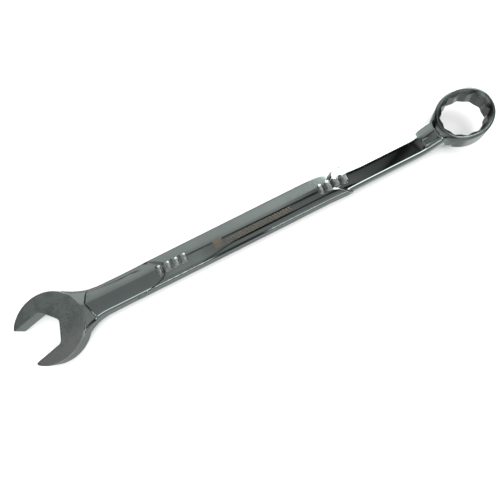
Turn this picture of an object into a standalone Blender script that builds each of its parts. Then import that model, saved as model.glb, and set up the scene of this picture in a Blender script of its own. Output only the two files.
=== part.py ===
"""Combination wrench, 19 mm across flats.

One drop-forged and plated steel bar: an open jaw turned 14.5 degrees off the shank, a
crowned shank with a thicker hand grip, and a 12-point box end raised 15 degrees.
Frame: origin under the middle of the bounding box, +X from the jaw to the box end,
+Z out of the jaw's ground face. Units: metres.
"""

import math

import bmesh
import bpy
from mathutils import Matrix, Vector

MM = 0.001

# Opening size shared by both ends
ACROSS_FLATS = 19.0 * MM

# Open jaw
JAW_X = -111.5 * MM
JAW_Y = -0.05 * MM
JAW_ANGLE = math.radians(14.5)
JAW_RADIUS = 17.6 * MM
JAW_CENTRE = (-0.2 * MM, 0.1 * MM)
JAW_HALF_THICK = 4.0 * MM
JAW_EDGE = 0.4 * MM
TIP_RADIUS = 0.9 * MM
NUT_CENTRE = -5.1 * MM
THROAT_RADIUS = 3.2 * MM
ROOT_RADIUS = 1.4 * MM
OUTLINE_STEPS = 72

# Shank
SHANK_Y = 1.1 * MM
REST_TO_MIDPLANE = 4.0 * MM
SECTION_POINTS = 24
SECTION_POWER = 3.0
JAW_SECTION_POWER = 6.0
SHANK_START = 11.3 * MM
SHANK_STATIONS = 66
BAR_HALF_WIDTH = 7.6 * MM
RING_BAR_HALF_WIDTH = 6.6 * MM
RING_BAR_SHIFT = -0.8 * MM
BAR_HALF_THICK = 3.3 * MM
JAW_NECK_HALF_THICK = 3.9 * MM
FAR_FILLET_RADIUS = 35.0 * MM
NEAR_FILLET_RADIUS = 25.0 * MM
NECK_LENGTH = 28.0 * MM
RING_FILLET_RADIUS = 10.0 * MM
RING_NECK_HALF_THICK = 4.2 * MM

# Hand grip: a thicker pillow with round ends along the middle of the shank
GRIP_START = 54.0 * MM
GRIP_END = 158.0 * MM
GRIP_ROUND = 11.0 * MM
GRIP_HALF_WIDTH = 6.9 * MM
GRIP_HALF_THICK = 3.8 * MM
GRIP_STATIONS = 40

# Blank raised bars across the grip, two groups of four
BUMP_PITCH = 4.3 * MM
BUMP_FIRST_GROUP = 58.1 * MM
BUMP_SECOND_GROUP = 146.1 * MM
BUMPS_PER_GROUP = 4
BUMP_LENGTH = 5.0 * MM
BUMP_WIDTH = 3.2 * MM
BUMP_FIRST_WIDTH = 2.0 * MM
BUMP_BOTTOM = 2.4 * MM
BUMP_TOP = 4.45 * MM
BUMP_EDGE = 0.55 * MM

# Box end
RING_X = 225.4 * MM
RING_LIFT = 5.1 * MM
RING_TILT = math.radians(14.9)
RING_RADIUS = 13.3 * MM
RING_HALF_THICK = 6.0 * MM
RING_SHOULDER = 1.9 * MM
RING_SHOULDER_STEPS = 5
RING_STEPS = 72
CORE_RADIUS = 4.0 * MM
CORNER_PHASE = math.radians(6.7)
CORNER_RADIUS = 10.93 * MM
MOUTH_RADIUS = 11.6 * MM
STRAIGHT_HALF = 4.4 * MM

# Small blank pad on the neck of the box end
PAD_X = 206.1 * MM
PAD_Y = -2.4 * MM
PAD_LENGTH = 7.0 * MM
PAD_WIDTH = 3.4 * MM
PAD_BOTTOM = 1.0 * MM
PAD_TOP = 4.5 * MM
PAD_EDGE = 0.5 * MM

OVERSIZE = 4.0 * MM


def clear_scene():
    """Start from an empty file."""
    for item in list(bpy.data.objects):
        bpy.data.objects.remove(item, do_unlink=True)


def new_collection(name):
    """Make a collection linked to the scene."""
    group = bpy.data.collections.new(name)
    bpy.context.scene.collection.children.link(group)
    return group


def mesh_object(name, bm, group):
    """Turn a bmesh into an object with outward normals."""
    bmesh.ops.recalc_face_normals(bm, faces=bm.faces)
    mesh = bpy.data.meshes.new(name)
    bm.to_mesh(mesh)
    bm.free()
    obj = bpy.data.objects.new(name, mesh)
    group.objects.link(obj)
    return obj


def placed(obj, matrix):
    """Move an object's own mesh, leaving its transform at identity."""
    obj.data.transform(matrix)
    return obj


def apply_modifiers(obj):
    """Replace the object's mesh with the result of its modifiers."""
    graph = bpy.context.evaluated_depsgraph_get()
    mesh = bpy.data.meshes.new_from_object(obj.evaluated_get(graph))
    obj.modifiers.clear()
    obj.data = mesh


def boolean(body, tool, operation):
    """Join or cut with an exact Boolean."""
    mod = body.modifiers.new(operation.lower(), "BOOLEAN")
    mod.operation = operation
    mod.solver = "EXACT"
    mod.object = tool
    apply_modifiers(body)


def smooth_step(start, end, value):
    """0 before start, 1 after end, eased between."""
    t = min(1.0, max(0.0, (value - start) / (end - start)))
    return t * t * (3.0 - 2.0 * t)


def mix(first, second, share):
    """Blend two values."""
    return first + (second - first) * share


def fillet_rise(distance, radius):
    """How far a circular fillet has left its straight at a distance past the tangent point."""
    reach = min(max(distance, 0.0), 0.95 * radius)
    return radius - math.sqrt(radius * radius - reach * reach)


def loft(name, sections, group):
    """Skin a run of closed sections that all have the same number of points."""
    bm = bmesh.new()
    loops = [[bm.verts.new(point) for point in section] for section in sections]
    for near, far in zip(loops, loops[1:]):
        for i in range(len(near)):
            j = (i + 1) % len(near)
            bm.faces.new((near[i], near[j], far[j], far[i]))
    bm.faces.new(loops[0])
    bm.faces.new(list(reversed(loops[-1])))
    return mesh_object(name, bm, group)


def crowned_section(centre, half_width, half_thick, lean, power):
    """Flattened oval section in a plane leaning back by the given angle."""
    points = []
    for i in range(SECTION_POINTS):
        turn = 2.0 * math.pi * (i + 0.5) / SECTION_POINTS
        side = math.copysign(abs(math.cos(turn)) ** (2.0 / power), math.cos(turn))
        rise = math.copysign(abs(math.sin(turn)) ** (2.0 / power), math.sin(turn))
        up = rise * half_thick
        points.append(centre + Vector((-up * math.sin(lean), side * half_width, up * math.cos(lean))))
    return points


def plate(name, outline, half_thick, edge, group):
    """Flat plate with rounded edges from a 2D curve."""
    curve = bpy.data.curves.new(name + "_outline", "CURVE")
    curve.dimensions = "2D"
    curve.fill_mode = "BOTH"
    curve.extrude = half_thick - edge
    curve.bevel_depth = edge
    curve.bevel_resolution = 2
    curve.offset = -edge
    spline = curve.splines.new("POLY")
    spline.points.add(len(outline) - 1)
    for slot, point in zip(spline.points, outline):
        slot.co = (point[0], point[1], 0.0, 1.0)
    spline.use_cyclic_u = True
    source = bpy.data.objects.new(name + "_curve", curve)
    group.objects.link(source)
    graph = bpy.context.evaluated_depsgraph_get()
    mesh = bpy.data.meshes.new_from_object(source.evaluated_get(graph))
    bpy.data.objects.remove(source, do_unlink=True)
    bm = bmesh.new()
    bm.from_mesh(mesh)
    bmesh.ops.remove_doubles(bm, verts=bm.verts, dist=1e-6)
    return mesh_object(name, bm, group)


def turned(name, profile, steps, group):
    """Turn a closed profile of (radius, height) points around Z with the Screw modifier."""
    bm = bmesh.new()
    ring = [bm.verts.new((radius, 0.0, height)) for radius, height in profile]
    for i in range(len(ring)):
        bm.edges.new((ring[i], ring[(i + 1) % len(ring)]))
    mesh = bpy.data.meshes.new(name)
    bm.to_mesh(mesh)
    bm.free()
    obj = bpy.data.objects.new(name, mesh)
    group.objects.link(obj)
    screw = obj.modifiers.new("turn", "SCREW")
    screw.axis = "Z"
    screw.angle = 2.0 * math.pi
    screw.steps = steps
    screw.render_steps = steps
    screw.use_merge_vertices = True
    screw.merge_threshold = 1e-5
    apply_modifiers(obj)
    bm = bmesh.new()
    bm.from_mesh(obj.data)
    bmesh.ops.remove_doubles(bm, verts=bm.verts, dist=1e-6)
    bmesh.ops.recalc_face_normals(bm, faces=bm.faces)
    bm.to_mesh(obj.data)
    bm.free()
    return obj


def prism(name, outline, low, high, group):
    """Straight prism between two heights."""
    return loft(name, [[Vector((p[0], p[1], z)) for p in outline] for z in (low, high)], group)


def rounded_block(name, size, edge, group):
    """Box with rounded edges, centred on its own origin."""
    bm = bmesh.new()
    bmesh.ops.create_cube(bm, size=1.0)
    bmesh.ops.scale(bm, vec=size, verts=bm.verts)
    obj = mesh_object(name, bm, group)
    bevel = obj.modifiers.new("edge", "BEVEL")
    bevel.width = edge
    bevel.segments = 2
    bevel.limit_method = "NONE"
    apply_modifiers(obj)
    return obj


def arc(centre, radius, start, end, steps):
    """Points along a circular arc."""
    turns = [mix(start, end, i / steps) for i in range(steps + 1)]
    return [centre + radius * Vector((math.cos(t), math.sin(t))) for t in turns]


def jaw_to_part():
    """Place the jaw's own frame (mouth towards -X) in the part's frame."""
    move = Matrix.Translation((JAW_X, JAW_Y, REST_TO_MIDPLANE))
    return move @ Matrix.Rotation(JAW_ANGLE, 4, "Z")


def shank_to_part():
    """Place lengths measured from the jaw centre along the shank's own axis."""
    return Matrix.Translation((JAW_X, JAW_Y + SHANK_Y, REST_TO_MIDPLANE))


def ring_to_part():
    """Place the box end, tip up."""
    lift = Matrix.Translation((RING_X, 0.0, RING_LIFT))
    return shank_to_part() @ lift @ Matrix.Rotation(-RING_TILT, 4, "Y")


def jaw_outline():
    """Round head cut by the mouth, with rounded tips, in the jaw's own frame."""
    half = ACROSS_FLATS / 2.0
    centre = Vector(JAW_CENTRE)
    outline = []
    tip_turns = []
    for side in (1.0, -1.0):
        rise = side * (half + TIP_RADIUS) - centre.y
        reach = math.sqrt((JAW_RADIUS - TIP_RADIUS) ** 2 - rise * rise)
        tip = Vector((centre.x - reach, centre.y + rise))
        ray = math.atan2(rise, -reach)
        tip_turns.append((tip, ray))
    (far_tip, far_ray), (near_tip, near_ray) = tip_turns
    outline += arc(far_tip, TIP_RADIUS, 1.5 * math.pi, far_ray, 6)
    outline += arc(centre, JAW_RADIUS, far_ray, near_ray, OUTLINE_STEPS)[1:]
    outline += arc(near_tip, TIP_RADIUS, near_ray, -1.5 * math.pi, 6)[1:]
    outline += throat_round(half)
    return outline


def throat_round(half):
    """Throat from the near flat to the far flat: a hexagon's end with rounded corners."""
    corner = 2.0 * half / math.sqrt(3.0)
    root = Vector((NUT_CENTRE + corner / 2.0, -half))
    apex = Vector((NUT_CENTRE + corner, 0.0))
    sixty = math.radians(60.0)
    root_middle = root + Vector((-ROOT_RADIUS * math.tan(sixty / 2.0), ROOT_RADIUS))
    apex_middle = apex - Vector((THROAT_RADIUS / math.sin(sixty), 0.0))
    near = arc(root_middle, ROOT_RADIUS, -math.pi / 2.0, -math.pi / 6.0, 3)
    crown = arc(apex_middle, THROAT_RADIUS, -math.pi / 6.0, math.pi / 6.0, 5)
    far = [Vector((p.x, -p.y)) for p in reversed(near)]
    return near + crown + far


def make_jaw(group):
    """Round head with its mouth."""
    blank = plate("jaw_blank", jaw_outline(), JAW_HALF_THICK, JAW_EDGE, group)
    return placed(blank, jaw_to_part())


def shank_height(x):
    """Height of the shank's middle above its own axis: level, then up into the box end."""
    bend = RING_X - RING_LIFT / math.tan(RING_TILT)
    ease = 9.0 * MM
    rise = math.tan(RING_TILT)
    if x <= bend - ease:
        return 0.0
    if x >= bend + ease:
        return (x - bend) * rise
    run = x - bend + ease
    return rise * run * run / (4.0 * ease)


def ring_fillet():
    """Where the fillet into the box end starts, and where it meets the ring."""
    wide = RING_BAR_HALF_WIDTH + RING_FILLET_RADIUS
    slant = RING_RADIUS + RING_FILLET_RADIUS
    back = math.sqrt(slant * slant - wide * wide)
    return RING_X - back, RING_X - back * RING_RADIUS / slant


def jaw_fillet_end(side, radius):
    """Where the fillet between the head and one edge of the bar runs out, along the shank."""
    centre = Matrix.Rotation(JAW_ANGLE, 2) @ Vector(JAW_CENTRE)
    gap = BAR_HALF_WIDTH - side * (centre.y - SHANK_Y) + radius
    slant = JAW_RADIUS + radius
    return centre.x + math.sqrt(slant * slant - gap * gap)


def make_shank(group):
    """Crowned bar from the head to the box end."""
    bend = RING_X - RING_LIFT / math.tan(RING_TILT)
    fillet_start, shank_end = ring_fillet()
    far_end = jaw_fillet_end(1.0, FAR_FILLET_RADIUS)
    near_end = jaw_fillet_end(-1.0, NEAR_FILLET_RADIUS)
    sections = []
    for i in range(SHANK_STATIONS + 1):
        x = mix(SHANK_START, shank_end, i / SHANK_STATIONS)
        slim = smooth_step(GRIP_END - 10.0 * MM, GRIP_END + 14.0 * MM, x)
        into_ring = smooth_step(bend - 8.0 * MM, shank_end, x)
        past_jaw = smooth_step(SHANK_START, NECK_LENGTH, x)
        flare = fillet_rise(x - fillet_start, RING_FILLET_RADIUS)
        half_width = mix(BAR_HALF_WIDTH, RING_BAR_HALF_WIDTH, slim) + flare
        far = half_width + fillet_rise(far_end - x, FAR_FILLET_RADIUS)
        near = half_width + fillet_rise(near_end - x, NEAR_FILLET_RADIUS)
        thick = mix(JAW_NECK_HALF_THICK, BAR_HALF_THICK, past_jaw)
        thick += (RING_NECK_HALF_THICK - BAR_HALF_THICK) * into_ring
        power = mix(JAW_SECTION_POWER, SECTION_POWER, past_jaw)
        lean = RING_TILT * smooth_step(bend - 9.0 * MM, bend + 9.0 * MM, x)
        shift = (far - near) / 2.0 + RING_BAR_SHIFT * slim * (1.0 - into_ring)
        centre = Vector((x, shift, shank_height(x)))
        sections.append(crowned_section(centre, (far + near) / 2.0, thick, lean, power))
    return placed(loft("shank_bar", sections, group), shank_to_part())


def make_grip(group):
    """Thicker pillow over the middle of the shank."""
    sections = []
    for i in range(GRIP_STATIONS + 1):
        x = mix(GRIP_START, GRIP_END, 0.5 - 0.5 * math.cos(math.pi * (i + 0.5) / (GRIP_STATIONS + 1)))
        inset = min(1.0, (x - GRIP_START) / GRIP_ROUND, (GRIP_END - x) / GRIP_ROUND)
        swell = math.sqrt(1.0 - (1.0 - inset) ** 2)
        thick = mix(0.8 * BAR_HALF_THICK, GRIP_HALF_THICK, swell)
        middle = Vector((x, 0.0, 0.0))
        sections.append(crowned_section(middle, GRIP_HALF_WIDTH * swell, thick, 0.0, SECTION_POWER))
    return placed(loft("grip_pillow", sections, group), shank_to_part())


def make_ring(group):
    """Solid-turned box end with round shoulders, before the bore is cut."""
    flat = RING_HALF_THICK - RING_SHOULDER
    shoulder = Vector((RING_RADIUS - RING_SHOULDER, flat))
    upper = arc(shoulder, RING_SHOULDER, math.pi / 2.0, 0.0, RING_SHOULDER_STEPS)
    profile = [(CORE_RADIUS, RING_HALF_THICK)]
    profile += [(p.x, p.y) for p in upper]
    profile += [(p.x, -p.y) for p in reversed(upper)]
    profile += [(CORE_RADIUS, -RING_HALF_THICK)]
    return placed(turned("ring_blank", profile, RING_STEPS, group), ring_to_part())


def make_bumps(group):
    """Two groups of four blank raised bars across the grip."""
    bumps = []
    for start in (BUMP_FIRST_GROUP, BUMP_SECOND_GROUP):
        for i in range(BUMPS_PER_GROUP):
            width = BUMP_FIRST_WIDTH if i == 0 else BUMP_WIDTH
            size = Vector((width, BUMP_LENGTH, BUMP_TOP - BUMP_BOTTOM))
            bump = rounded_block("bump_%d" % len(bumps), size, BUMP_EDGE, group)
            middle = Vector((start + i * BUMP_PITCH, 0.0, (BUMP_TOP + BUMP_BOTTOM) / 2.0))
            bumps.append(placed(bump, shank_to_part() @ Matrix.Translation(middle)))
    return bumps


def make_pad(group):
    """Small blank pad on the neck of the box end."""
    size = Vector((PAD_LENGTH, PAD_WIDTH, PAD_TOP - PAD_BOTTOM))
    pad = rounded_block("neck_pad", size, PAD_EDGE, group)
    middle = Vector((PAD_X, PAD_Y, (PAD_TOP + PAD_BOTTOM) / 2.0))
    lean = Matrix.Rotation(-RING_TILT / 2.0, 4, "Y")
    return placed(pad, shank_to_part() @ Matrix.Translation(middle) @ lean)


def make_bore_cutters(group):
    """Two crossed hexagons make the 12 points; a double cone opens both mouths."""
    reach = RING_HALF_THICK + OVERSIZE
    cutters = []
    for turn in (0.0, math.pi / 6.0):
        corners = arc(Vector((0.0, 0.0)), CORNER_RADIUS, 0.0, 2.0 * math.pi, 6)[:-1]
        cutter = prism("hexagon_cutter_%d" % len(cutters), corners, -reach, reach, group)
        spin = Matrix.Rotation(CORNER_PHASE + turn, 4, "Z")
        cutters.append(placed(cutter, ring_to_part() @ spin))
    slope = (RING_HALF_THICK - STRAIGHT_HALF) / (MOUTH_RADIUS - CORNER_RADIUS)
    top = RING_HALF_THICK + OVERSIZE / 2.0
    rim = MOUTH_RADIUS + OVERSIZE / 2.0 / slope
    inner = ACROSS_FLATS / 2.0 - 1.0 * MM
    waist = STRAIGHT_HALF - (CORNER_RADIUS - inner) * slope
    profile = [(CORE_RADIUS / 2.0, top), (rim, top), (inner, waist)]
    profile += [(radius, -height) for radius, height in reversed(profile)]
    cutters.append(placed(turned("mouth_cutter", profile, RING_STEPS, group), ring_to_part()))
    return cutters


def make_material():
    """Polished chrome plate."""
    material = bpy.data.materials.new("chrome_plate")
    material.use_nodes = True
    shader = material.node_tree.nodes["Principled BSDF"]
    shader.inputs["Base Color"].default_value = (0.55, 0.58, 0.57, 1.0)
    shader.inputs["Metallic"].default_value = 1.0
    shader.inputs["Roughness"].default_value = 0.18
    return material


def shade(obj):
    """Smooth the round stretches and keep edges over 35 degrees crisp."""
    mesh = obj.data
    for face in mesh.polygons:
        face.use_smooth = True
    bm = bmesh.new()
    bm.from_mesh(mesh)
    for edge in bm.edges:
        edge.smooth = edge.calc_face_angle(math.pi) < math.radians(35.0)
    bm.to_mesh(mesh)
    bm.free()


def tidy(obj):
    """Merge leftovers of the Booleans and close the mesh outward."""
    bm = bmesh.new()
    bm.from_mesh(obj.data)
    bmesh.ops.remove_doubles(bm, verts=bm.verts, dist=1e-5)
    bmesh.ops.dissolve_degenerate(bm, edges=bm.edges, dist=1e-5)
    bmesh.ops.triangulate(bm, faces=bm.faces)
    bmesh.ops.recalc_face_normals(bm, faces=bm.faces)
    bm.to_mesh(obj.data)
    bm.free()


def build():
    """Build the wrench."""
    clear_scene()
    wrench = new_collection("combination_wrench")
    cutters = new_collection("cutters")

    body = make_jaw(wrench)
    body.name = "wrench_forging"
    additions = [make_shank(cutters), make_grip(cutters), make_ring(cutters), make_pad(cutters)]
    additions += make_bumps(cutters)
    for piece in additions:
        boolean(body, piece, "UNION")

    for tool in make_bore_cutters(cutters):
        boolean(body, tool, "DIFFERENCE")

    for piece in list(cutters.objects):
        piece.hide_render = True
        piece.display_type = "WIRE"
    tidy(body)
    body.data.materials.clear()
    body.data.materials.append(make_material())
    shade(body)


build()
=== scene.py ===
"""Looks for the combination wrench: one polished forging with ground jaw faces.

The forging is a signed distance field in millimetres: x along the shank from the jaw to the box
end, y toward the far side, z out of the upper face. A fine mesh is taken from that field.
"""

import math

import bpy
import numpy as np
from mathutils import Matrix, Vector


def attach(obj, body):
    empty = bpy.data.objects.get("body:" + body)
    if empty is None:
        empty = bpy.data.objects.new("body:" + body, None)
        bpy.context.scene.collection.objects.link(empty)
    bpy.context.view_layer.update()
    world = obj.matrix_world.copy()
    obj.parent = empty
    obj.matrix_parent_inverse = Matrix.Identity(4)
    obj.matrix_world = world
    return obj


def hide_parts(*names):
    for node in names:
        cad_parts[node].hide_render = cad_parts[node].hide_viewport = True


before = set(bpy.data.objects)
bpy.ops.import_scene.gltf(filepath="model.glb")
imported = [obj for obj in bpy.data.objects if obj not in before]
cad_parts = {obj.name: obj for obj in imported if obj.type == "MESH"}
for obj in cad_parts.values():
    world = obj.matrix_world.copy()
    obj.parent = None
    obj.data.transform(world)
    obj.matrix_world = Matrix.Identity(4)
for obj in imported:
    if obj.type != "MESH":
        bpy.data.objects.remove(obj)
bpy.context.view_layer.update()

MM = 0.001

# Where the jaw's centre, on the shank's middle plane, sits in the part's frame
JAW_X, JAW_Y, JAW_Z = -111.5, -0.05, 4.0

# Fine mesh: its cell, the block of space searched, grid planes worked out at once, and how the
# points are pulled onto the surface
CELL = 0.385
GRID_LOW = (-16.5, -19.0, -5.0)
GRID_HIGH = (240.5, 19.0, 15.0)
SLAB = 40
PULLS = 4
LEAST_STEEPNESS = 0.2
PULL_REACH = 0.03
NORMAL_REACH = 0.06

# Fillets where the shapes of the forging run together, and the round on the bore's edge
GRIP_JOIN = 0.18
RAISED_BARS_JOIN = 0.35
PAD_JOIN = 0.5
RING_JOIN = 2.2
JAW_JOIN = 0.06
BORE_EDGE = 0.22
CONE_JOIN = 0.12

# Scales that bring a leaning surface's distance nearer to its true one
SHANK_TOP_SCALE = 0.98
GRIP_TOP_SCALE = 0.93
GRIP_END_SCALE = 0.6
CONE_SCALE = 0.72

# Half of the 19 mm across flats, for both ends
HALF_FLATS = 9.5

# Jaw: centre and radius of its head in the jaw's own axes, and that centre in the shank's axes
JAW_ANGLE = math.radians(14.5)
HEAD_X, HEAD_Y, HEAD_R = -0.2, 0.1, 17.5
HEAD_FRAME_X, HEAD_FRAME_Y = -0.22, 0.05
JAW_HALF = 3.93
NUT_APEX = 5.84
NUT_FACE_X, NUT_FACE_Y = 0.866, 0.5
NUT_APEX_SOFT = 0.72
MOUTH_ROUND = 1.2
TIP_ROUND = 1.8
TIP_WEAR_START, TIP_WEAR_END = -11.0, -16.0
TIP_WEAR = 0.18
FACE_ROUND = 0.45

# Shank: lengths along x from the jaw's centre, widths from the shank's own axis
SHANK_Y = 1.1
SHANK_START, SHANK_END = 10.5, 219.0
BAR_HALF_WIDTH = 7.6
BAR_HALF_THICK = 3.4
THICKER_AT_RING, THICKER_AT_HEAD = 0.9, 0.42
BAR_CROWN = 1.1
CROWN_POWER = 2.2
BAR_ROUND = 2.3
WIDEST_SHARE = 1.3
RING_BAR_HALF_WIDTH = 6.6
RING_BAR_SHIFT = -0.8
FAR_FILLET_X, FAR_FILLET_R = 29.6, 35.0
NEAR_FILLET_X, NEAR_FILLET_R = 28.2, 25.0
RING_FILLET_X, RING_FILLET_R = 210.9, 6.0
RING_FILLET_REACH = 4.2
FILLET_SHARE = 0.97
BEND_EASE = 9.0
LEAN_START = 197.0

# Step up from the neck facet to the bar: its tip, its slant to both sides, its curl at the far edge
PANEL_START, PANEL_END = 18.9, 19.9
PANEL_TIP_Y, PANEL_SLANT = 2.8, 0.36
PANEL_CURL_Y, PANEL_CURL = 6.4, 0.3

# Grip
GRIP_START, GRIP_END = 54.0, 158.0
GRIP_HALF_WIDTH = 7.45
GRIP_CROWN_WIDTH = 6.8
GRIP_HALF_THICK = 3.86
GRIP_CROWN = 1.0
GRIP_ROUND = 1.3
GRIP_STEP = 0.62
GRIP_DEEPEST = 1.2
GRIP_END_ROUND = 0.2
START_SCOOP_NEAR, START_SCOOP_FAR, FINISH_SCOOP = 12.0, 8.5, 6.0

# Raised bars on the grip
BAR_STARTS = (58.1, 146.1)
BARS_IN_GROUP = 4
BAR_PITCH = 4.3
BAR_Z = 3.25
BAR_LENGTH = 5.0
BAR_HEIGHT = 2.3
NARROW_BAR, WIDE_BAR = 2.2, 3.3
NARROW_BAR_EDGE, WIDE_BAR_EDGE = 1.0, 1.12

# Blank pad on the neck
PAD_X, PAD_Y, PAD_Z = 206.1, -1.3, 2.45
PAD_SIZE = (7.0, 3.4, 3.4)
PAD_EDGE = 0.7

# Box end
RING_X, RING_LIFT = 225.4, 5.1
RING_TILT = math.radians(14.9)
RING_R, RING_HALF = 13.27, 5.95
RING_ROUND = 1.9
CORNER_R = 10.93
CORNER_PHASE = math.radians(6.7)
STRAIGHT_HALF = 4.8
CONE_SLOPE = 0.95

# Base colours of the metal and of the marks on it, with painted shade on the box end and in its bore and
# a painted sheen on the jaw's faces
PLATE_LIGHT = (0.57, 0.645, 0.625, 1.0)
PLATE_DARK = (0.52, 0.60, 0.58, 1.0)
GROUND_LIGHT = (0.55, 0.63, 0.61, 1.0)
GROUND_DARK = (0.41, 0.475, 0.46, 1.0)
PIT = (0.17, 0.20, 0.19, 1.0)
# Light colour both for the worn tips and for the painted sheen on the near side of the jaw's faces
RUBBED_AND_SHEEN = (0.86, 0.87, 0.85, 1.0)
SPECKLE = (0.80, 0.82, 0.81, 1.0)
ETCHED = (0.52, 0.465, 0.37, 1.0)
# Darker copy of the plate for the box end: painted shade
RING_PAINTED_SHADE = (0.34, 0.395, 0.38, 1.0)
# Duller colour in the bore, partly a broached finish and partly painted shade in the hole
BROACHED_AND_SHADED = (0.29, 0.312, 0.295, 1.0)
WHITE = (1.0, 1.0, 1.0, 1.0)

# Etched band: one point of its slanted middle line, and the pitch and slant of its hatch
BAND_X, BAND_Y, BAND_SLOPE = 95.0, -0.9, 0.004
HATCH_PITCH = 1.45
HATCH_SLANT = 0.5

# Camera, in metres
CAMERA_PLACE = (-0.01723, -0.04857, 0.18095)
CAMERA_RIGHT = Vector((0.89234, -0.44723, -0.06093))
CAMERA_DOWN = Vector((-0.44943, -0.86795, -0.21137))
CAMERA_FORWARD = Vector((0.04165, 0.216, -0.9755))
SENSOR_MM = 36.0
LENS_MM = 26.632944


def step(a, b, v):
    """0 at a, 1 at b, eased between and level past them. It falls along v where a is above b."""
    t = np.clip((v - a) / (b - a), 0.0, 1.0)
    return t * t * (3.0 - 2.0 * t)


def join(a, b, k):
    """Union with a fillet of size k."""
    h = np.clip(0.5 + 0.5 * (b - a) / k, 0.0, 1.0)
    return b + (a - b) * h - k * h * (1.0 - h)


def meet(a, b, k):
    """Intersection with a round of size k."""
    return -join(-a, -b, k)


def fillet_rise(distance, radius):
    """How far a circular fillet has left its straight, stopping just short of upright."""
    reach = np.clip(distance, 0.0, FILLET_SHARE * radius)
    return radius - np.sqrt(radius * radius - reach * reach)


def jaw(x, y, z):
    """Round head with ground faces and a hexagon-ended mouth."""
    c = math.cos(JAW_ANGLE)
    s = math.sin(JAW_ANGLE)
    u = x * c + y * s
    v = -x * s + y * c
    disc = np.sqrt((u - HEAD_X) ** 2 + (v - HEAD_Y) ** 2) - HEAD_R
    side = np.sqrt(v * v + NUT_APEX_SOFT)
    facets = NUT_FACE_X * (u - NUT_APEX) + NUT_FACE_Y * side
    mouth = meet(np.abs(v) - HALF_FLATS, facets, MOUTH_ROUND)
    plan = meet(disc, -mouth, TIP_ROUND)
    wear_and_painted_sheen = step(TIP_WEAR_START, TIP_WEAR_END, u) * TIP_WEAR
    return meet(plan, np.abs(z) - JAW_HALF + wear_and_painted_sheen, FACE_ROUND)


def box_end_frame(x, y, z):
    """Place in the box end's tilted axes: u along the wrench, v across it, h up its bore."""
    dx = x - RING_X
    dz = z - RING_LIFT
    c = math.cos(RING_TILT)
    s = math.sin(RING_TILT)
    return dx * c + dz * s, y - SHANK_Y, -dx * s + dz * c


def ring_blank(u, v, h):
    """Turned outside with round shoulders."""
    rho = np.sqrt(u * u + v * v)
    return meet(rho - RING_R, np.abs(h) - RING_HALF, RING_ROUND)


def ring_bore(u, v, h):
    """12-point bore, two hexagons a twelfth of a turn apart, with a cone at both mouths."""
    rho = np.sqrt(u * u + v * v)
    hexagons = []
    for first in (0.0, math.pi / 6.0):
        turns = [CORNER_PHASE + first + math.pi / 6.0 + i * math.pi / 3.0 for i in range(3)]
        flats = [np.abs(u * math.cos(t) + v * math.sin(t)) - HALF_FLATS for t in turns]
        hexagons.append(np.maximum(np.maximum(flats[0], flats[1]), flats[2]))
    bore = np.minimum(hexagons[0], hexagons[1])
    cone = (rho - CORNER_R - CONE_SLOPE * (np.abs(h) - STRAIGHT_HALF)) * CONE_SCALE
    return join(bore, cone, CONE_JOIN)


def shank_middle(x):
    """Height of the shank's middle: level, then up into the box end."""
    bend = RING_X - RING_LIFT / math.tan(RING_TILT)
    rise = math.tan(RING_TILT)
    run = np.clip(x - bend + BEND_EASE, 0.0, 2.0 * BEND_EASE)
    straight = np.clip(x - bend - BEND_EASE, 0.0, None)
    return rise * run * run / (4.0 * BEND_EASE) + rise * straight


def edges(x):
    """Far and near edges of the shank, measured from its axis."""
    slim = step(GRIP_END - 10.0, GRIP_END + 14.0, x)
    into_ring = step(198.0, 215.5, x)
    half = BAR_HALF_WIDTH + (RING_BAR_HALF_WIDTH - BAR_HALF_WIDTH) * slim
    half = half + fillet_rise(np.minimum(x - RING_FILLET_X, RING_FILLET_REACH), RING_FILLET_R)
    far = half + fillet_rise(FAR_FILLET_X - x, FAR_FILLET_R)
    near = half + fillet_rise(NEAR_FILLET_X - x, NEAR_FILLET_R)
    shift = RING_BAR_SHIFT * slim * (1.0 - into_ring)
    return far + shift, near - shift


def neck_facet(x, y):
    """Half thickness of the flat facet that falls away from the head's disc toward the shank."""
    off_disc = np.sqrt((x - HEAD_FRAME_X) ** 2 + (y - HEAD_FRAME_Y) ** 2) - HEAD_R
    fall = 0.13 + 0.2 * step(2.5, 5.0, y)
    near_fall = 0.10 * np.clip(-y - 1.0, 0.0, None)
    return JAW_HALF - fall * np.clip(off_disc, 0.0, 5.0) - near_fall


def shank(x, y, z):
    """Crowned bar from the head to the box end, with a step up to it from the neck facet."""
    far, near = edges(x)
    off_middle = np.abs(y - SHANK_Y - (far - near) / 2.0)
    half = (far + near) / 2.0
    share = np.clip(off_middle / half, 0.0, WIDEST_SHARE)
    into_bend = np.clip((x - LEAN_START) / (2.0 * BEND_EASE), 0.0, 1.0)
    lean = np.cos(np.arctan(into_bend * math.tan(RING_TILT)))
    curl = PANEL_CURL * np.clip(y - PANEL_CURL_Y, 0.0, None) ** 2
    panel = step(PANEL_START, PANEL_END, x - PANEL_SLANT * np.abs(y - PANEL_TIP_Y) - curl)
    thick = BAR_HALF_THICK + THICKER_AT_RING * step(199.0, 215.0, x)
    thick = thick + THICKER_AT_HEAD * step(44.0, 22.0, x)
    crowned = thick - BAR_CROWN * share ** CROWN_POWER
    facet = neck_facet(x, y)
    crown = facet + (crowned - facet) * panel
    top = (np.abs(z - shank_middle(x)) - crown) * lean * SHANK_TOP_SCALE
    body = meet(off_middle - half, top, BAR_ROUND)
    ends = np.maximum(SHANK_START - x, x - SHANK_END)
    return np.maximum(body, ends)


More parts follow.
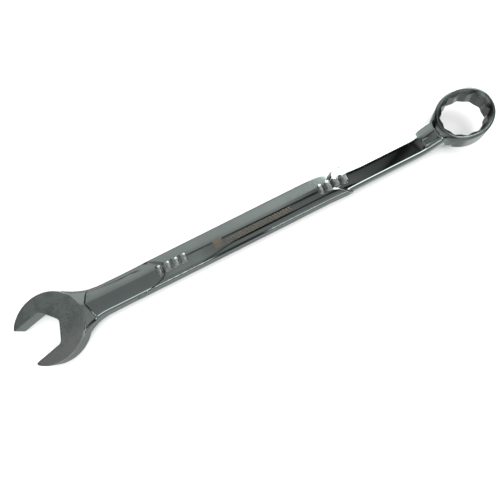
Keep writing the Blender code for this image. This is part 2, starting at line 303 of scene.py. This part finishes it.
def grip(x, y, z):
    """Thicker middle of the shank, scooped at both ends."""
    v = y - SHANK_Y
    far, near = edges(x)
    off = np.abs(v - (far - near) / 2.0)
    share = np.clip(off / GRIP_CROWN_WIDTH, 0.0, WIDEST_SHARE)
    scoop = np.where(v < 0.0, START_SCOOP_NEAR * share ** 4, START_SCOOP_FAR * share ** 2)
    start = GRIP_START + 4.5 - scoop - x
    finish = x - GRIP_END + 4.0 - FINISH_SCOOP * share ** 2
    start_slope = 0.14 + 0.14 * step(1.5, -1.0, v)
    finish_slope = 0.14 + 0.16 * step(-2.0, -4.0, v)
    start_drop = np.clip(start_slope * start + GRIP_STEP, 0.0, GRIP_DEEPEST)
    finish_drop = np.clip(finish_slope * finish + GRIP_STEP, 0.0, GRIP_DEEPEST)
    crown = GRIP_HALF_THICK - GRIP_CROWN * share ** CROWN_POWER - start_drop - finish_drop
    top = (np.abs(z) - crown) * GRIP_TOP_SCALE
    pillow = meet(off - GRIP_HALF_WIDTH, top, GRIP_ROUND)
    return meet(pillow, np.maximum(start, finish) * GRIP_END_SCALE, GRIP_END_ROUND)


def block(x, y, z, centre, size, edge):
    """Box with rounded edges."""
    qx = np.abs(x - centre[0]) - size[0] / 2.0 + edge
    qy = np.abs(y - centre[1]) - size[1] / 2.0 + edge
    qz = np.abs(z - centre[2]) - size[2] / 2.0 + edge
    outside = np.sqrt(np.maximum(qx, 0) ** 2 + np.maximum(qy, 0) ** 2 + np.maximum(qz, 0) ** 2)
    return outside + np.minimum(np.maximum(qx, np.maximum(qy, qz)), 0.0) - edge


def raised_bars(x, y, z):
    """Two groups of four blank raised bars, the first of each group narrower."""
    found = None
    for start in BAR_STARTS:
        for i in range(BARS_IN_GROUP):
            width = NARROW_BAR if i == 0 else WIDE_BAR
            edge = NARROW_BAR_EDGE if i == 0 else WIDE_BAR_EDGE
            centre = (start + BAR_PITCH * i, SHANK_Y, BAR_Z)
            bar = block(x, y, z, centre, (width, BAR_LENGTH, BAR_HEIGHT), edge)
            found = bar if found is None else np.minimum(found, bar)
    return found


def neck_pad(x, y, z):
    """Small blank pad on the neck of the box end, leaning half as much as the box end."""
    rise = z - (x - PAD_X) * math.tan(RING_TILT / 2.0)
    return block(x, y, rise, (PAD_X, PAD_Y, PAD_Z), PAD_SIZE, PAD_EDGE)


def wrench(x, y, z):
    """Signed distance to the whole forging."""
    u, v, h = box_end_frame(x, y, z)
    body = join(shank(x, y, z), grip(x, y, z), GRIP_JOIN)
    body = join(body, raised_bars(x, y, z), RAISED_BARS_JOIN)
    body = join(body, neck_pad(x, y, z), PAD_JOIN)
    body = join(body, ring_blank(u, v, h), RING_JOIN)
    body = join(body, jaw(x, y, z), JAW_JOIN)
    return meet(body, -ring_bore(u, v, h), BORE_EDGE)


def value_and_slope(points, reach):
    """Distance and its slope at loose points, from differences over the reach."""
    x, y, z = points.astype(np.float64).T
    value = wrench(x, y, z)
    slope = np.stack([
        wrench(x + reach, y, z) - wrench(x - reach, y, z),
        wrench(x, y + reach, z) - wrench(x, y - reach, z),
        wrench(x, y, z + reach) - wrench(x, y, z - reach),
    ], axis=1) / (2.0 * reach)
    return value, slope


def sample_field(axes):
    """The distance at every grid point, worked out in slabs along x to save memory."""
    nx, ny, nz = (len(a) for a in axes)
    field = np.empty((nx, ny, nz), np.float32)
    across, up = np.meshgrid(axes[1], axes[2], indexing="ij")
    for i in range(0, nx, SLAB):
        xs = axes[0][i:i + SLAB][:, None, None]
        shape = (xs.shape[0], ny, nz)
        field[i:i + SLAB] = wrench(np.broadcast_to(xs, shape), np.broadcast_to(across, shape),
                                   np.broadcast_to(up, shape))
    return field


def crossed_cells(inside):
    """Cells with corners on both sides of the surface."""
    nx, ny, nz = inside.shape
    total = np.zeros((nx - 1, ny - 1, nz - 1), np.int8)
    for i in (0, 1):
        for j in (0, 1):
            for k in (0, 1):
                total += inside[i:nx - 1 + i, j:ny - 1 + j, k:nz - 1 + k]
    return (total > 0) & (total < 8)


def quads_along(axis, inside, index):
    """One quad round every grid edge along this axis that the surface crosses."""
    starts = [slice(None)] * 3
    ends = [slice(None)] * 3
    starts[axis] = slice(0, -1)
    ends[axis] = slice(1, None)
    before = inside[tuple(starts)]
    crossing = np.argwhere(before != inside[tuple(ends)])
    others = [o for o in range(3) if o != axis]
    crossing = crossing[np.all(crossing[:, others] > 0, axis=1)]
    leaving = before[tuple(crossing.T)]
    corners = []
    for back_first, back_second in ((0, 0), (1, 0), (1, 1), (0, 1)):
        cell = crossing.copy()
        cell[:, others[0]] -= back_first
        cell[:, others[1]] -= back_second
        corners.append(index[tuple(cell.T)])
    quads = np.stack(corners, axis=1)
    keeps_order = leaving if axis != 1 else ~leaving
    quads[~keeps_order] = quads[~keeps_order][:, ::-1]
    return quads


def surface(low, high, cell):
    """Quads over the zero surface by surface nets, their points then pulled onto it."""
    axes = [np.arange(a, b + cell, cell, dtype=np.float32) for a, b in zip(low, high)]
    inside = sample_field(axes) < 0
    active = crossed_cells(inside)
    index = np.full(active.shape, -1, np.int64)
    index[active] = np.arange(active.sum())
    quads = np.concatenate([quads_along(axis, inside, index) for axis in range(3)])
    points = (np.argwhere(active).astype(np.float32) + 0.5) * cell + np.array(low, np.float32)
    for _ in range(PULLS):
        value, slope = value_and_slope(points, PULL_REACH)
        steepness = np.maximum((slope ** 2).sum(1, keepdims=True), LEAST_STEEPNESS)
        move = value[:, None] * slope / steepness
        length = np.linalg.norm(move, axis=1, keepdims=True)
        points = points - move * np.minimum(1.0, 0.5 * cell / np.maximum(length, 1e-9))
    return points, quads


def make_forging():
    """Mesh of the forging with normals taken from the surface itself."""
    points, quads = surface(GRID_LOW, GRID_HIGH, CELL)
    slope = value_and_slope(points, NORMAL_REACH)[1]
    normals = slope / np.linalg.norm(slope, axis=1, keepdims=True)
    placed = (points + np.array([JAW_X, JAW_Y, JAW_Z], np.float32)) * MM
    mesh = bpy.data.meshes.new("forging")
    mesh.from_pydata(placed.tolist(), [], quads.tolist())
    mesh.validate()
    mesh.polygons.foreach_set("use_smooth", [True] * len(mesh.polygons))
    mesh.normals_split_custom_set_from_vertices(normals.tolist())
    obj = bpy.data.objects.new("forging", mesh)
    bpy.context.scene.collection.objects.link(obj)
    return obj


class Nodes:
    """Small helper for building node trees."""

    def __init__(self, tree):
        self.tree = tree
        self.tree.nodes.clear()

    def add(self, kind, inputs=None, **settings):
        """New node, each input linked to a socket or set to a value."""
        node = self.tree.nodes.new(kind)
        for key, value in settings.items():
            setattr(node, key, value)
        for key, value in (inputs or {}).items():
            if isinstance(value, bpy.types.NodeSocket):
                self.tree.links.new(value, node.inputs[key])
            else:
                node.inputs[key].default_value = value
        return node

    def axes(self, vector):
        """The three parts of a vector."""
        split = self.add("ShaderNodeSeparateXYZ", {"Vector": vector})
        return [split.outputs[i] for i in range(3)]

    def math(self, operation, a, b=0.0, c=0.0):
        node = self.add("ShaderNodeMath", {0: a, 1: b, 2: c}, operation=operation)
        return node.outputs[0]

    def product(self, first, *others):
        for other in others:
            first = self.math("MULTIPLY", first, other)
        return first

    def length(self, a, b):
        """Length of the flat vector (a, b)."""
        return self.math("SQRT", self.math("ADD", self.product(a, a), self.product(b, b)))

    def ease(self, value, low, high, out_low=0.0, out_high=1.0):
        """out_low at low, out_high at high, eased between. It works falling as well."""
        node = self.add("ShaderNodeMapRange", {"Value": value, "From Min": low, "From Max": high,
                        "To Min": out_low, "To Max": out_high}, interpolation_type="SMOOTHSTEP")
        return node.outputs["Result"]

    def window(self, value, low, high, soft):
        """1 from low to high, eased to 0 over the soft border outside them."""
        return self.product(self.ease(value, low - soft, low), self.ease(value, high + soft, high))

    def mix(self, factor, a, b, kind="RGBA", blend="MIX"):
        """a where the factor is 0, b where it is 1."""
        node = self.add("ShaderNodeMix", {"Factor": factor, "A": a, "B": b}, data_type=kind,
                        blend_type=blend)
        return node.outputs["Result"]

    def ramp(self, value, stops):
        """Grey level from a list of (place, level)."""
        node = self.add("ShaderNodeValToRGB", {"Fac": value})
        ramp = node.color_ramp
        while len(ramp.elements) > 1:
            ramp.elements.remove(ramp.elements[-1])
        ramp.elements[0].position = stops[0][0]
        ramp.elements[0].color = (stops[0][1],) * 3 + (1.0,)
        for place, level in stops[1:]:
            ramp.elements.new(place).color = (level,) * 3 + (1.0,)
        return node.outputs["Color"]

    def turn_ramp(self, angle, stops):
        """Grey level from a list of (degrees, level) over a full turn, -180 to 180."""
        turn = self.math("MULTIPLY_ADD", angle, 1.0 / 360.0, 0.5)
        return self.ramp(turn, [((degrees + 180.0) / 360.0, level) for degrees, level in stops])

    def noise(self, vector, scale, detail, roughness):
        node = self.add("ShaderNodeTexNoise", {"Vector": vector, "Scale": scale, "Detail": detail,
                        "Roughness": roughness})
        return node.outputs["Fac"]

    def bump(self, height, strength, distance, normal=None):
        inputs = {"Strength": strength, "Distance": distance, "Height": height}
        if normal is not None:
            inputs["Normal"] = normal
        return self.add("ShaderNodeBump", inputs).outputs["Normal"]


def chrome_material():
    """Polished plate, ground satin on the jaw's faces, a faint etched band on the grip."""
    material = bpy.data.materials.new("chrome_plate")
    material.use_nodes = True
    n = Nodes(material.node_tree)
    place = n.add("ShaderNodeTexCoord").outputs["Object"]
    x, y, z = n.axes(place)

    def within(value, low, high, soft):
        """Window whose borders are in millimetres."""
        return n.window(value, low * MM, high * MM, soft * MM)

    # Ground faces of the jaw, and the worn ends of its tips
    dx = n.math("SUBTRACT", x, JAW_X * MM)
    dy = n.math("SUBTRACT", y, JAW_Y * MM)
    up = n.math("ABSOLUTE", n.math("SUBTRACT", z, JAW_Z * MM))
    radius = n.length(dx, dy)
    on_disc = n.ease(radius, 17.8 * MM, 17.6 * MM)
    on_face = n.ease(up, 3.45 * MM, 3.7 * MM)
    satin = n.product(on_disc, on_face)
    mouth_u = n.math("ADD", n.product(dx, math.cos(JAW_ANGLE)), n.product(dy, math.sin(JAW_ANGLE)))
    worn_tips = n.product(n.ease(mouth_u, -11.5 * MM, -15.5 * MM), satin)

    # Box end and its bore
    ring_x = n.math("SUBTRACT", x, (JAW_X + RING_X) * MM)
    ring_z = n.math("SUBTRACT", z, (JAW_Z + RING_LIFT) * MM)
    ring_u = n.math("ADD", n.product(ring_x, math.cos(RING_TILT)),
                    n.product(ring_z, math.sin(RING_TILT)))
    ring_v = n.math("SUBTRACT", y, (JAW_Y + SHANK_Y) * MM)
    ring_radius = n.length(ring_u, ring_v)
    on_ring = n.ease(ring_radius, 14.2 * MM, 13.4 * MM)
    in_bore = n.ease(ring_radius, 11.2 * MM, 10.95 * MM)

    # Tops of the raised bars
    groups = n.math("ADD", within(dx, 56.6, 73.2, soft=0.3), within(dx, 144.6, 161.2, soft=0.3))
    on_bars = n.product(groups, within(dy, -1.7, 3.9, soft=0.2), n.ease(z, 7.82 * MM, 7.95 * MM))

    # Generic etched band on the upper side: a plain block, then a slanted hatch, no lettering
    band_middle = n.math("MULTIPLY_ADD", dx, BAND_SLOPE, (BAND_Y - BAND_SLOPE * BAND_X) * MM)
    band_y = n.math("SUBTRACT", dy, band_middle)
    slanted = n.math("MULTIPLY_ADD", dy, HATCH_SLANT, dx)
    waves = n.math("SINE", n.product(slanted, 2.0 * math.pi / (HATCH_PITCH * MM)))
    hatch = n.ease(waves, -0.75, -0.2, out_low=0.25, out_high=1.0)
    row = n.product(within(dx, 93.5, 129.0, soft=0.15), within(band_y, -1.35, 1.25, soft=0.15), hatch)
    mark = n.product(within(dx, 87.2, 91.8, soft=0.15), within(dy, -2.2, 2.9, soft=0.15))
    etched = n.product(n.math("MAXIMUM", row, mark), n.ease(z, 6.6 * MM, 6.9 * MM))

    # Uneven plate: noise scales are per metre, coarse to fine
    unevenness = n.noise(place, 60.0, 1.0, 0.4)
    smudge = n.noise(place, 95.0, 4.0, 0.6)
    blotches = n.noise(place, 170.0, 5.0, 0.62)
    specks = n.noise(place, 950.0, 3.0, 0.65)
    grain = n.noise(place, 2600.0, 2.0, 0.6)
    drawn_out = n.add("ShaderNodeMapping", {"Vector": place, "Scale": (40.0, 900.0, 900.0)})
    scratches = n.noise(drawn_out.outputs["Vector"], 3.0, 2.0, 0.6)

    # Colour
    plate = n.mix(n.ease(smudge, 0.3, 0.8), PLATE_LIGHT, PLATE_DARK)
    ground = n.mix(n.ease(blotches, 0.38, 0.66), GROUND_LIGHT, GROUND_DARK)
    near_throat = within(radius, 6.5, 11.0, soft=3.0)
    pit_depth = n.math("MULTIPLY_ADD", near_throat, 0.24, 0.12)
    pitted = n.mix(n.product(n.ease(specks, 0.50, 0.62), pit_depth), ground, PIT)
    tip_wear = n.product(worn_tips, n.ease(specks, 0.35, 0.6, out_low=1.0, out_high=0.3))
    # Painted sheen: the ground faces are made lighter toward the near side, as if lit more there; the
    # tips are lighter from wear
    painted_near_sheen = n.ease(dy, 2.0 * MM, -14.0 * MM, out_low=0.0, out_high=0.42)
    wear_and_painted_sheen = n.mix(n.math("MAXIMUM", tip_wear, painted_near_sheen), pitted, RUBBED_AND_SHEEN)
    colour = n.mix(satin, plate, wear_and_painted_sheen)
    colour = n.mix(n.product(on_bars, n.ease(specks, 0.42, 0.62)), colour, SPECKLE)
    colour = n.mix(n.product(etched, 0.85), colour, ETCHED)
    # Painted shade: the box end's plate is darkened
    colour = n.mix(n.product(on_ring, 0.6), colour, RING_PAINTED_SHADE)
    # Bore: broached finish, its colour also darkened as painted shade inside the hole
    colour = n.mix(in_bore, colour, BROACHED_AND_SHADED)

    # Roughness
    polished_rough = n.ease(smudge, 0.35, 0.75, out_low=0.05, out_high=0.10)
    satin_rough = n.ease(blotches, 0.3, 0.7, out_low=0.30, out_high=0.42)
    rough = n.mix(satin, polished_rough, satin_rough, kind="FLOAT")
    dulled = n.math("MAXIMUM", n.product(on_bars, 0.34), n.product(etched, 0.38))
    dulled = n.math("MAXIMUM", dulled, n.product(on_ring, 0.26))
    rough = n.mix(in_bore, n.math("MAXIMUM", rough, dulled), 0.24, kind="FLOAT")

    # Relief: a faint ripple in the plate, drawn scratches, and grinding marks on the jaw's faces
    relief = n.bump(unevenness, strength=0.07, distance=0.0006)
    relief = n.bump(scratches, strength=0.02, distance=0.00005, normal=relief)
    relief = n.bump(grain, strength=n.product(satin, 0.35), distance=0.00006, normal=relief)

    shader = n.add("ShaderNodeBsdfPrincipled", {"Base Color": colour, "Metallic": 1.0,
                   "Roughness": rough, "Normal": relief})
    n.add("ShaderNodeOutputMaterial", {"Surface": shader.outputs["BSDF"]})
    return material


def floor_material():
    """Plain pale matte sheet."""
    material = bpy.data.materials.new("pale_sheet")
    material.use_nodes = True
    n = Nodes(material.node_tree)
    place = n.add("ShaderNodeTexCoord").outputs["Object"]
    cloud = n.noise(place, 6.0, 3.0, 0.5)
    tone = n.mix(n.ease(cloud, 0.3, 0.7), (0.86, 0.86, 0.86, 1.0), (0.84, 0.84, 0.84, 1.0))
    shader = n.add("ShaderNodeBsdfPrincipled", {"Base Color": tone, "Roughness": 0.8,
                   "Specular IOR Level": 0.2})
    n.add("ShaderNodeOutputMaterial", {"Surface": shader.outputs["BSDF"]})
    return material


def make_floor():
    """Floor just under the wrench. The plate mirrors the studio and not the floor."""
    bpy.ops.mesh.primitive_plane_add(size=4.0, location=(0.0, 0.0, -0.0001))
    floor = bpy.context.object
    floor.name = "floor"
    floor.data.materials.append(floor_material())
    floor.visible_glossy = False


def make_world():
    """Studio of soft panels that the plate mirrors, plain white to the camera.

    Directions are in degrees: across is 0 straight up and grows toward the far side, along is 0
    straight up and grows toward the box end.
    """
    world = bpy.data.worlds.new("studio")
    bpy.context.scene.world = world
    world.use_nodes = True
    n = Nodes(world.node_tree)
    x, y, z = n.axes(n.add("ShaderNodeTexCoord").outputs["Generated"])
    across = n.product(n.math("ARCTAN2", y, z), 180.0 / math.pi)
    along = n.product(n.math("ARCSINE", x), 180.0 / math.pi)

    def past(value, start):
        """How far the value is past its start, or 0."""
        return n.math("MAXIMUM", n.math("SUBTRACT", value, start), 0.0)

    def gain(mask, amount):
        """1 outside the mask, changed by the amount inside it."""
        return n.math("MULTIPLY_ADD", mask, amount, 1.0)

    def dark_line(centre, half, low, high, depth):
        """Thin line along the wrench, from low to high."""
        off = n.math("ABSOLUTE", n.math("SUBTRACT", across, centre))
        mask = n.product(n.ease(n.math("SUBTRACT", off, half), 0.8, 0.0),
                         n.window(along, low, high, soft=1.5))
        return gain(mask, -depth)

    # Jaw's side: grey overhead with a lit far side; the border between them drifts along the grip
    on_grip = n.ease(along, -10.0, -6.0)
    drift = n.product(n.math("MULTIPLY_ADD", along, 0.2, 2.6), on_grip)
    left = n.turn_ramp(n.math("ADD", across, drift), [
        (-180, 0.27), (-130, 0.32), (-100, 0.36), (-75, 0.30), (-60, 0.20), (-46, 0.15), (-40, 0.26),
        (-36, 1.2), (-28, 1.2), (-24, 0.28), (-16, 0.22), (-6, 0.19), (8, 0.175), (19.6, 0.175),
        (21.2, 0.27), (31, 0.36), (45, 0.38), (75, 0.34), (95, 0.28), (180, 0.24)])

    # Box end's side: darker overhead, a bright strip on the near side, a white far side
    right = n.turn_ramp(across, [
        (-180, 0.7), (-150, 0.7), (-110, 0.35), (-75, 0.22), (-48, 0.15), (-38, 0.4), (-34, 2.2),
        (-26, 2.2), (-21, 0.30), (-12, 0.17), (6, 0.14), (19, 0.10), (21, 0.01), (27.2, 0.01),
        (29.0, 3.0), (95, 3.0), (125, 0.7), (180, 0.7)])

    # Where the one side gives way to the other, with a grey card that shows in the grip's last scoop
    overhead = n.window(across, -19.0, 21.0, soft=3.0)
    dim_right = n.product(n.ease(along, 8.0, 19.0), overhead)
    corner = n.math("MULTIPLY_ADD", past(across, 38.0), 0.05, along)
    to_right = n.math("MAXIMUM", dim_right, n.ease(corner, 17.9, 19.0))
    grey_card = n.product(n.window(along, 31.8, 36.0, soft=1.0), n.window(across, 15.0, 29.0, soft=2.0))
    panels = n.mix(n.product(to_right, gain(grey_card, -1.0)), left, right)

    # Dark stripes over the box end's side of the shank
    slanted = n.math("MULTIPLY_ADD", across, -0.09, along)
    stripes = n.turn_ramp(slanted, [
        (-180, 1.0), (19.5, 1.0), (23.5, 0.62), (25.0, 0.55), (26.0, 0.04), (27.9, 0.04), (28.6, 0.45),
        (29.6, 0.42), (30.2, 0.04), (31.4, 0.04), (32.6, 0.9), (180, 1.0)])
    striped = n.mix(overhead, WHITE, stripes)

    # Thin dark lines along the grip, and a short slanted one before it
    upper_half = n.math("MULTIPLY_ADD", past(along, 3.0), 0.07, 0.7)
    upper = dark_line(n.math("MULTIPLY_ADD", along, -0.2, 17.0), upper_half, -6.0, 16.0, depth=0.92)
    before_middle = n.math("MAXIMUM", n.math("SUBTRACT", 0.5, along), 0.0)
    lower_centre = n.math("MULTIPLY_ADD", before_middle, -2.6, -3.8)
    lower_centre = n.math("MULTIPLY_ADD", past(along, 17.5), -3.5, lower_centre)
    lower_half = n.math("MULTIPLY_ADD", past(along, 16.5), 1.4, 1.3)
    lower_half = n.math("ADD", lower_half, n.product(n.window(along, 3.0, 9.0, soft=3.0), 0.9))
    lower = dark_line(lower_centre, lower_half, -6.5, 20.0, depth=0.96)
    streak = dark_line(n.math("MULTIPLY_ADD", along, -3.9, -17.5), 2.6, -19.5, -14.8, depth=0.8)

    # Broad patches: shade low on the near side, and soft light overhead and on the far side
    shade = n.product(n.window(along, -2.5, 5.5, soft=1.5), n.window(across, -66.0, -18.0, soft=3.0))
    glow = n.product(n.window(along, -9.0, -5.0, soft=3.0), n.window(across, -8.0, 14.0, soft=4.0))
    far_glow = n.product(n.ease(along, 0.0, 8.0), n.window(across, 27.0, 60.0, soft=5.0))

    # Row of small lamps in the near strip
    rows = n.math("ADD", n.window(along, -11.0, -5.0, soft=1.0), n.window(along, 6.5, 16.0, soft=1.0))
    strip = n.product(n.window(across, -37.0, -26.0, soft=2.0), rows)
    lamps = n.ease(n.math("SINE", n.product(along, 4.5)), -0.25, 0.35, out_low=0.3, out_high=1.9)
    beads = n.mix(strip, 1.0, lamps, kind="FLOAT")

    # Dark low walls past both ends and in the far corner on the jaw's side
    low_left = n.window(along, -56.0, -42.0, soft=5.0)
    far_left = n.product(n.window(along, -62.0, -23.0, soft=4.0), n.window(across, 33.0, 120.0, soft=6.0))
    low_right = n.window(along, 46.0, 70.0, soft=6.0)

    level = n.product(upper, lower, streak, gain(shade, -0.94), gain(glow, 0.45), gain(far_glow, 0.17),
                      beads, gain(low_left, -0.93), gain(far_left, -0.93), gain(low_right, -0.92))
    light = n.mix(1.0, panels, striped, blend="MULTIPLY")
    studio = n.add("ShaderNodeBackground", {"Color": light, "Strength": level})
    backdrop = n.add("ShaderNodeBackground", {"Color": WHITE, "Strength": 1.0})
    seen = n.add("ShaderNodeLightPath").outputs["Is Camera Ray"]
    chosen = n.add("ShaderNodeMixShader", {0: seen, 1: studio.outputs["Background"],
                   2: backdrop.outputs["Background"]})
    n.add("ShaderNodeOutputWorld", {"Surface": chosen.outputs["Shader"]})


def make_lights():
    """Large soft box that only lights the matte floor."""
    light = bpy.data.lights.new("softbox", "AREA")
    light.shape = "RECTANGLE"
    light.size = 3.0
    light.size_y = 3.0
    light.energy = 60.0
    obj = bpy.data.objects.new("softbox", light)
    obj.location = (0.0, 0.0, 1.1)
    obj.visible_glossy = False
    obj.visible_camera = False
    bpy.context.scene.collection.objects.link(obj)


def make_camera():
    """Close, steep view from the near side, the jaw at the lower left."""
    data = bpy.data.cameras.new("camera")
    data.sensor_width = SENSOR_MM
    data.lens = LENS_MM
    data.clip_start = 0.01
    camera = bpy.data.objects.new("camera", data)
    turn = Matrix((CAMERA_RIGHT, -CAMERA_DOWN, -CAMERA_FORWARD)).transposed().to_quaternion()
    camera.rotation_mode = "QUATERNION"
    camera.rotation_quaternion = turn.normalized()
    camera.location = CAMERA_PLACE
    bpy.context.scene.collection.objects.link(camera)
    bpy.context.scene.camera = camera


forging = make_forging()
forging.data.materials.append(chrome_material())
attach(forging, "root")
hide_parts("wrench_forging")
make_floor()
make_world()
make_lights()
make_camera()
bpy.context.scene.view_settings.view_transform = "Standard"
